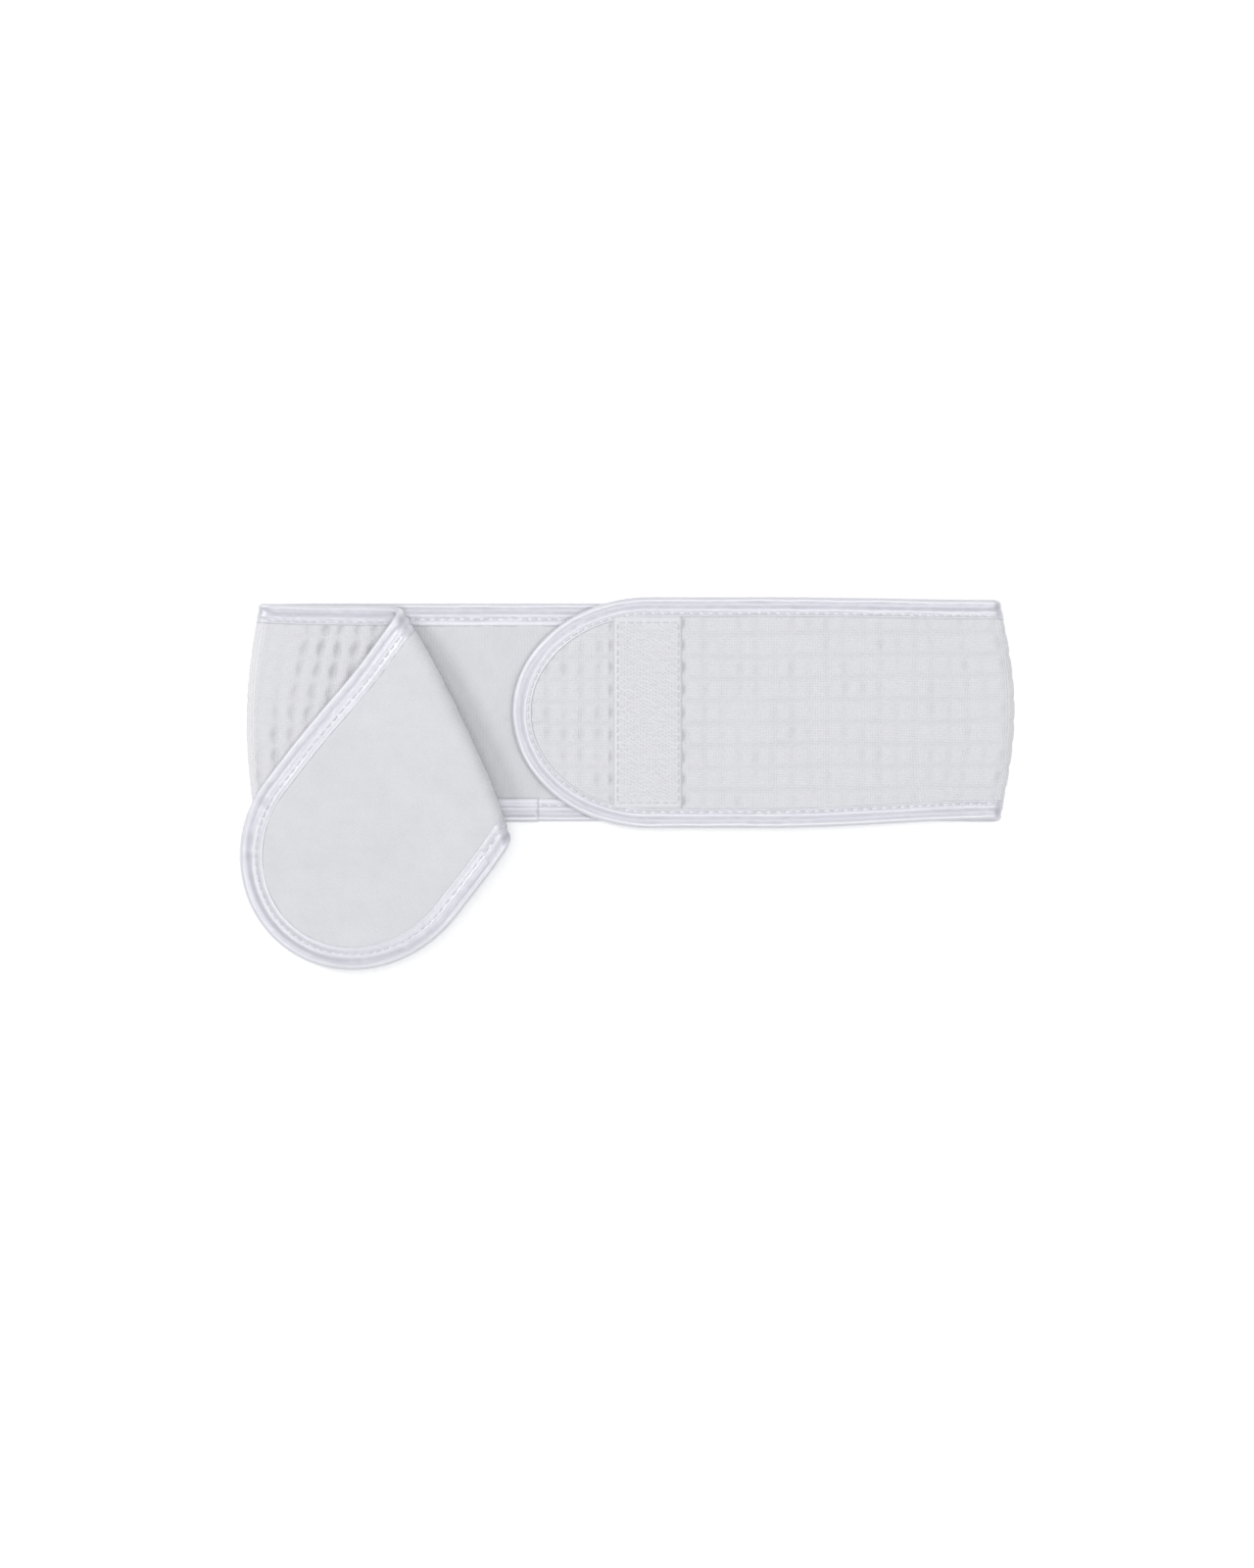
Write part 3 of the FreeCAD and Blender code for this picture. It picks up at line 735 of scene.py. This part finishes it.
def seam_piece(name, side, first, last, ride, edge_side=1, suffix=""):
    """Both threads of the binding's seam along one stretch."""
    r, v, length = strip_places(side, first, last, edge_side, np.array([SEAM_INSET]), SEAM_STEP)
    count = max(1, int(round(length[-1] / STITCH_PITCH)))
    at = (np.arange(count) + 0.5) * length[-1] / count
    centre_r = np.interp(at, length, r[:, 0])
    centre_v = np.interp(at, length, v[:, 0])
    before_r, after_r = [np.interp(at + step, length, r[:, 0]) for step in (-1, 1)]
    before_v, after_v = [np.interp(at + step, length, v[:, 0]) for step in (-1, 1)]
    direction = np.stack([after_r - before_r, after_v - before_v], -1)
    direction = direction / np.linalg.norm(direction, axis=1, keepdims=True)
    inward = np.stack([-direction[:, 1], direction[:, 0]], -1)
    for thread, face in THREADS:
        node = f"{name}_{thread}{suffix}"
        item, rr, vv = stitch_run(node, side, centre_r, centre_v, direction, inward, face)
        weight = fold_weight(name, side, rr, vv) if len(ride) == 2 else None
        attach(item, ride, "sewing_thread", (node,) if node in frame["nodes"] else (), weight)


def back_binding(edge, sign):
    """One edge's binding on the back panel, made as two halves that meet at its middle."""
    section = binding_section()
    insets, heights = section[:, 0], section[:, 1]
    parts = []
    for side in ("left", "right"):
        span = HALF_SPAN[side] - ZONE
        stations = np.linspace(0, span, int(span / BINDING_STEP))
        r = (PANEL_EDGE - stations)[:, None] + 0 * insets
        v = sign * (half_width(side, r) - insets)
        length = pattern_place(side, r[:, 0])
        base = THICK / 2 + heights[None, :] + 0 * r
        parts.append((place(side, r, v, base + satin_relief(length, insets, base)), length))
    points, length = [np.concatenate([a[:-1], b[::-1]]) for a, b in zip(*parts)]
    wide = section_length(section)
    flat = np.stack(np.broadcast_arrays(length[:, None], wide[None, :]), -1).reshape(-1, 2)
    faces = grid_faces(*points.shape[:2], flip=sign < 0, wrap=True)
    name = f"back_binding_{edge}"
    item = new_object(name, points.reshape(-1, 3), faces, flat, satin_painted_light(insets) + 0 * length[:, None])
    attach(item, ("back_panel",), "satin_binding", (name,))


def back_seam(edge, sign, side):
    """Both threads along half of one edge of the back panel."""
    span = HALF_SPAN[side] - ZONE
    count = int(span / STITCH_PITCH)
    centre = PANEL_EDGE - (np.arange(count) + 0.5) * span / count
    where = sign * (half_width(side, centre) - SEAM_INSET)
    direction = np.stack([np.ones(count), np.zeros(count)], -1)
    inward = direction[:, ::-1]
    for thread, face in THREADS:
        node = f"back_{thread}_{edge}"
        item, _, _ = stitch_run(f"{node}_{side}", side, centre, where, direction, inward, face)
        attach(item, ("back_panel",), "sewing_thread", (node,))


def back_edges():
    """Binding and seams of the back panel."""
    for edge, sign in (("top", 1), ("bottom", -1)):
        back_binding(edge, sign)
        for side in ("left", "right"):
            back_seam(edge, sign, side)


JOIN_MORE = 4.0  # the visible lap starts this far before the CAD's
JOIN_SWELL = 0.32  # how far it stands off the binding under it


def binding_join():
    """The binding's end, lapped over its start on the lower edge of the back panel."""
    section = binding_section()
    insets, heights = section[:, 0], section[:, 1]
    x = np.linspace(JOIN_LOW - JOIN_MORE, JOIN_HIGH, 14)
    swell = np.full(len(x), JOIN_SWELL)
    x = np.concatenate([x[:1], x, x[-1:] + 0.15, x[-1:] + 0.15])
    swell = np.concatenate([[0.0], swell, [0.2], [-0.05]])
    r = (x - LEFT_X)[:, None] * -1 - STRIP + 0 * insets
    grown = np.where(heights > 0, 1, -1) * swell[:, None]
    v = -(half_width("left", r) - insets + np.where(insets < 1, 1, 0) * swell[:, None] * 0.8)
    d = THICK / 2 + heights[None, :] + grown
    points = place("left", r, v, d)
    flat = np.stack(np.broadcast_arrays(x[:, None], insets[None, :]), -1).reshape(-1, 2)
    faces = grid_faces(*r.shape, flip=True, wrap=True)
    item = new_object("binding_join", points.reshape(-1, 3), faces, flat, satin_painted_light(insets) + 0 * r)
    attach(item, ("back_panel",), "satin_binding", ("binding_join",))


# ---- Hook tape.
TAPE_TOP = THICK / 2 + 1.5  # height of the tape's woven face, as d
TAPE_THICK = 0.75
TAPE_SEAM_INSET = 1.5
TAPE_STITCH_PITCH = 3.0
HOOK_HEIGHT = 0.62


def slab_faces(rows, columns):
    """Faces of a slab whose points are its top grid and then its bottom grid."""
    count = rows * columns
    index = np.arange(count).reshape(rows, columns)
    rim_loop = np.concatenate([index[0, :-1], index[:-1, -1], index[-1, :0:-1], index[:0:-1, 0]])
    following = np.roll(rim_loop, -1)
    wall = np.stack([rim_loop, following, following + count, rim_loop + count], -1)
    top = grid_faces(rows, columns)
    bottom = grid_faces(rows, columns, flip=True) + count
    return np.concatenate([top, bottom, wall])


def tape_base():
    """The tape's woven strip, pressed down a little along its seam."""
    rows, columns = 61, 25
    r = np.linspace(TAPE_NEAR, TAPE_FAR, columns)[None, :] + np.zeros((rows, 1))
    half = half_width("right", r) - WAFFLE_BINDING + 0.1
    v = np.linspace(-1, 1, rows)[:, None] * half
    sides, ends = np.minimum(r - TAPE_NEAR, TAPE_FAR - r), half - np.abs(v)
    seam = 0.06 * np.exp(-(((np.minimum(sides, ends) - TAPE_SEAM_INSET) / 0.5) ** 2))
    top = TAPE_TOP - 0.35 * (1 - smooth(sides / 0.6)) - 0.1 * (1 - smooth(ends / 0.4)) - seam
    upper = place("right", r, v, top).reshape(-1, 3)
    lower = place("right", r, v, TAPE_TOP - TAPE_THICK + 0 * top).reshape(-1, 3)
    flat = np.tile(np.stack([r, v], -1).reshape(-1, 2), (2, 1))
    item = new_object("hook_tape", np.concatenate([upper, lower]), slab_faces(rows, columns), flat)
    attach(item, ("right_flap",), "hook_tape", ("hook_tape",))


def tape_hooks():
    """The tape's field of little hooks, each a bent bristle, in staggered rows."""
    random = np.random.default_rng(61)
    pitch_r, pitch_v, border = 1.15, 1.3, 2.6
    rr = np.arange(TAPE_NEAR + border, TAPE_FAR - border, pitch_r)
    vv = np.arange(-TAPE_HALF + border, TAPE_HALF - border, pitch_v)
    r, v = [g.ravel() for g in np.meshgrid(rr, vv)]
    v = v + np.where(np.round((r - rr[0]) / pitch_r) % 2 == 0, 0, pitch_v / 2)
    r, v = r + random.normal(0, 0.06, r.size), v + random.normal(0, 0.06, v.size)
    way = np.where(random.random(r.size) > 0.5, 1, -1)
    out = np.array([0.0, 0.02, 0.10, 0.24, 0.36, 0.40])
    up = np.array([-0.05, 0.34, 0.54, 0.60, 0.50, 0.34]) * HOOK_HEIGHT / 0.6
    sides = np.linspace(0, 2 * math.pi, 6)[:-1]
    thick = 0.085
    hook_r = r[:, None, None] + thick * np.cos(sides)[None, None, :] + 0 * out[None, :, None]
    hook_v = v[:, None, None] + way[:, None, None] * out[None, :, None] + thick * np.sin(sides) * 0.6
    d = TAPE_TOP + up[None, :, None] + thick * np.sin(sides) * 0.6 + 0 * hook_r
    points = place("right", hook_r, hook_v, d).reshape(-1, 3)
    one = grid_faces(len(out), len(sides), wrap=True)
    per = len(out) * len(sides)
    faces = (one[None] + (np.arange(r.size) * per)[:, None, None]).reshape(-1, 4)
    item = new_object("hook_tape_hooks", points, faces, np.stack([hook_r, hook_v], -1).reshape(-1, 2))
    attach(item, ("right_flap",), "hook_tape")


def tape_seam():
    """The tape's stitches: down both long sides and across both ends."""
    r0, r1 = TAPE_NEAR + TAPE_SEAM_INSET, TAPE_FAR - TAPE_SEAM_INSET
    half_long, half_short = TAPE_HALF - TAPE_SEAM_INSET, (r1 - r0) / 2
    long_sides = [(r0, half_long, False), (r1, half_long, False)]
    short_ends = [(-half_long, half_short, True), (half_long, half_short, True)]
    runs = []
    for fixed, span, across in long_sides + short_ends:
        count = int(2 * span / TAPE_STITCH_PITCH)
        t = (np.arange(count) + 0.5) / count * 2 * span - span
        if across:
            runs.append((t + (r0 + r1) / 2, fixed + 0 * t, (1.0, 0.0)))
        else:
            runs.append((fixed + 0 * t, t, (0.0, 1.0)))
    r = np.concatenate([run[0] for run in runs])
    v = np.concatenate([run[1] for run in runs])
    direction = np.concatenate([np.tile(run[2], (len(run[0]), 1)) for run in runs])
    inward = np.stack([-direction[:, 1], direction[:, 0]], -1)
    lift = TAPE_TOP - THICK / 2 - SEAM_HEIGHT
    item, _, _ = stitch_run("hook_tape_thread", "right", r, v, direction, inward, 1, lift)
    attach(item, ("right_flap",), "sewing_thread", ("hook_tape_thread",))


# ---- Materials.


class Nodes:
    """A short way to lay out a material's nodes."""

    def __init__(self, name):
        self.material = bpy.data.materials.new(name)
        self.material.use_nodes = True
        self.tree = self.material.node_tree
        self.shader = self.tree.nodes["Principled BSDF"]

    def add(self, kind, inputs=(), **settings):
        node = self.tree.nodes.new(kind)
        for key, setting in settings.items():
            setattr(node, key, setting)
        for key, source in dict(inputs).items():
            if isinstance(source, bpy.types.NodeSocket):
                self.tree.links.new(source, node.inputs[key])
            else:
                node.inputs[key].default_value = source
        return node

    def flat(self, scale_along, scale_across):
        """The flat band's own coordinates, in millimetres times the scales."""
        uv = self.add("ShaderNodeUVMap", uv_map="flat")
        scale = (MM_PER_UV * scale_along, MM_PER_UV * scale_across, 1)
        mapping = self.add("ShaderNodeMapping", {"Vector": uv.outputs["UV"], "Scale": scale})
        return mapping.outputs["Vector"]

    def math(self, operation, first, second=0.0, third=0.0):
        inputs = {0: first, 1: second, 2: third}
        return self.add("ShaderNodeMath", inputs, operation=operation).outputs[0]

    def noise(self, vector, scale, detail=3.0, rough=0.6):
        inputs = {"Vector": vector, "Scale": scale, "Detail": detail, "Roughness": rough}
        return self.add("ShaderNodeTexNoise", inputs).outputs["Fac"]

    def wave(self, vector, direction, scale, distortion=0.0):
        inputs = {"Vector": vector, "Scale": scale, "Distortion": distortion, "Detail": 1.0}
        return self.add("ShaderNodeTexWave", inputs, bands_direction=direction).outputs["Fac"]

    def ramp(self, factor, low_color, high_color, low_at=0.0, high_at=1.0):
        node = self.add("ShaderNodeValToRGB", {"Fac": factor})
        low_end, high_end = node.color_ramp.elements
        low_end.position = low_at
        high_end.position = high_at
        low_end.color = (*low_color, 1)
        high_end.color = (*high_color, 1)
        return node.outputs["Color"]

    def link(self, source, key):
        self.tree.links.new(source, self.shader.inputs[key])

    def bump(self, height, distance, strength=1.0, normal=None):
        inputs = {"Height": height, "Distance": distance, "Strength": strength}
        if normal is not None:
            inputs["Normal"] = normal
        return self.add("ShaderNodeBump", inputs).outputs["Normal"]

    def settle(self, **values):
        for key, setting in values.items():
            self.shader.inputs[key.replace("_", " ")].default_value = setting
        return self.material


def waffle_material():
    """Matt cotton, with painted shade making it darker in the waffle's pits."""
    n = Nodes("waffle_cloth")
    # Painted shade: the colour darkens with the depth of each pit.
    depth = n.add("ShaderNodeAttribute", attribute_name="tone_with_painted_light").outputs["Fac"]
    cloudy = n.noise(n.flat(0.05, 0.05), 1.0, 3)
    tone_with_painted_light = n.math("MULTIPLY_ADD", cloudy, 0.18, n.math("MULTIPLY", depth, 0.9))
    n.link(n.ramp(tone_with_painted_light, (0.715, 0.712, 0.732), (0.60, 0.60, 0.62)), "Base Color")
    yarn = n.math("MULTIPLY", n.wave(n.flat(1, 1), "X", 0.55, 1.2), n.wave(n.flat(1, 1), "Y", 0.55, 1.2))
    fuzz = n.noise(n.flat(1, 1), 2.4, 5)
    n.link(n.bump(fuzz, 0.00018, 0.6, n.bump(yarn, 0.00022, 0.8)), "Normal")
    return n.settle(Roughness=0.93, Sheen_Weight=0.25, Sheen_Roughness=0.6, Specular_IOR_Level=0.2)


def lining_material():
    """Brushed loops, matt and even."""
    n = Nodes("brushed_lining")
    cloudy = n.noise(n.flat(0.09, 0.06), 1.0, 4)
    n.link(n.ramp(cloudy, (0.612, 0.612, 0.635), (0.645, 0.645, 0.667), 0.3, 0.7), "Base Color")
    knit = n.wave(n.flat(1, 1), "X", 0.28, 1.5)
    loops = n.noise(n.flat(1.0, 0.8), 1.5, 6, 0.7)
    n.link(n.bump(loops, 0.00035, 0.8, n.bump(knit, 0.0001, 0.5)), "Normal")
    return n.settle(Roughness=0.95, Sheen_Weight=0.35, Sheen_Roughness=0.5, Specular_IOR_Level=0.15)


def satin_material():
    """Soft satin, streaked lengthways, with painted shade that dulls its hollows and painted highlights on
    its rim.
    """
    n = Nodes("satin_binding")
    cloudy = n.noise(n.flat(0.2, 0.6), 1.0, 3)
    # Painted light from the mesh: painted highlights on the rim, painted shade in the hollows and at the
    # very edge.
    rim = n.add("ShaderNodeAttribute", attribute_name="tone_with_painted_light").outputs["Fac"]
    streaks = n.noise(n.flat(0.06, 0.9), 1.0, 2)
    tone_with_painted_light = n.math("MULTIPLY_ADD", rim, 0.6, n.math("MULTIPLY", cloudy, 0.25))
    tone_with_painted_light = n.math("MULTIPLY_ADD", streaks, 0.35, tone_with_painted_light)
    n.link(n.ramp(tone_with_painted_light, (0.68, 0.678, 0.716), (0.405, 0.40, 0.46), 0.05, 0.95), "Base Color")
    twill = n.wave(n.flat(1, 1), "DIAGONAL", 1.4, 0.4)
    slub = n.noise(n.flat(0.5, 3.0), 1.0, 4)
    n.link(n.math("MULTIPLY_ADD", slub, 0.14, 0.30), "Roughness")
    n.link(n.bump(slub, 0.0001, 0.35, n.bump(twill, 0.00004, 0.5)), "Normal")
    return n.settle(Metallic=0.22, Anisotropic=0.3, Sheen_Weight=0.05, Specular_IOR_Level=0.8)


def thread_material():
    """Twisted sewing thread."""
    n = Nodes("sewing_thread")
    ply = n.wave(n.flat(1, 1), "DIAGONAL", 2.6, 0.0)
    n.link(n.ramp(ply, (0.68, 0.68, 0.71), (0.82, 0.82, 0.85)), "Base Color")
    n.link(n.bump(ply, 0.00008, 0.8), "Normal")
    return n.settle(Roughness=0.45, Sheen_Weight=0.2, Specular_IOR_Level=0.5)


def tape_material():
    """The tape's weave and its hooks."""
    n = Nodes("hook_tape")
    cloudy = n.noise(n.flat(0.3, 0.3), 1.0, 3)
    n.link(n.ramp(cloudy, (0.668, 0.666, 0.692), (0.70, 0.698, 0.722), 0.3, 0.7), "Base Color")
    weave = n.math("MULTIPLY", n.wave(n.flat(1, 1), "X", 0.9), n.wave(n.flat(1, 1), "Y", 0.7))
    n.link(n.bump(weave, 0.00012, 0.7), "Normal")
    return n.settle(Roughness=0.6, Sheen_Weight=0.1, Specular_IOR_Level=0.4)


MATERIALS = {
    "waffle_cloth": waffle_material(),
    "brushed_lining": lining_material(),
    "satin_binding": satin_material(),
    "sewing_thread": thread_material(),
    "hook_tape": tape_material(),
}


# ---- The whole band.


def build():
    """Every visible piece, in the order cloth, binding and seams, tape."""
    for layer in LAYERS:
        back_piece(layer)
        for name, side, first, last, ride in STRETCHES:
            cloth_piece(layer, name, side, first, last, ride)
    for name, side, first, last, ride in STRETCHES:
        if last is None:
            binding_piece(name, side, first, last, ride)
            seam_piece(name, side, first, last, ride)
            continue
        for edge, sign in (("_top", 1), ("_bottom", -1)):
            binding_piece(name, side, first, last, ride, sign, edge)
            seam_piece(name, side, first, last, ride, sign, edge)
    back_edges()
    binding_join()
    tape_base()
    tape_hooks()
    tape_seam()


# ---- Floor, light and camera.
FRAME_HEIGHT = 0.5712  # metres of the scene that the picture's height takes in, at BAND_LEVEL
BAND_LEVEL = 0.004  # metres
LENS, SENSOR = 85.0, 36.0
FLOOR_REACH = 3.0


def floor():
    """A plain pale sheet of paper."""
    mesh = bpy.data.meshes.new("floor")
    corners = [(FLOOR_REACH * x, FLOOR_REACH * y, 0) for x, y in ((-1, -1), (1, -1), (1, 1), (-1, 1))]
    mesh.from_pydata(corners, [], [(0, 1, 2, 3)])
    item = bpy.data.objects.new("floor", mesh)
    bpy.context.scene.collection.objects.link(item)
    n = Nodes("floor_paper")
    position = n.add("ShaderNodeNewGeometry").outputs["Position"]
    grain = n.noise(position, 60.0, 4)
    n.link(n.ramp(grain, (0.96, 0.96, 0.96), (0.985, 0.985, 0.985)), "Base Color")
    item.data.materials.append(n.settle(Roughness=0.9, Specular_IOR_Level=0.0, Emission_Strength=0.12))


def area_light(name, place_at, size, energy):
    """A round soft light that faces the middle of the scene."""
    data = bpy.data.lights.new(name, "AREA")
    data.shape = "DISK"
    data.size = size
    data.energy = energy
    item = bpy.data.objects.new(name, data)
    item.location = place_at
    item.rotation_euler = (-item.location).to_track_quat("-Z", "Y").to_euler()
    bpy.context.scene.collection.objects.link(item)


def studio():
    """A pale world, a key light from the upper left and a broad one from above."""
    world = bpy.data.worlds.new("studio")
    world.use_nodes = True
    background = world.node_tree.nodes["Background"]
    background.inputs["Color"].default_value = (0.97, 0.98, 1.0, 1)
    background.inputs["Strength"].default_value = 0.60
    bpy.context.scene.world = world
    area_light("key", (-1.7, 0.95, 1.55), 0.7, 19)
    area_light("top", (0.2, -0.1, 1.9), 1.5, 17)
    bpy.context.scene.view_settings.view_transform = "Standard"


def camera():
    """Straight above the band, as the photograph is taken."""
    data = bpy.data.cameras.new("camera")
    data.lens, data.sensor_width = LENS, SENSOR
    item = bpy.data.objects.new("camera", data)
    item.location = (0, 0, FRAME_HEIGHT / SENSOR * LENS + BAND_LEVEL)
    bpy.context.scene.collection.objects.link(item)
    bpy.context.scene.camera = item


camera()
studio()
floor()
build()
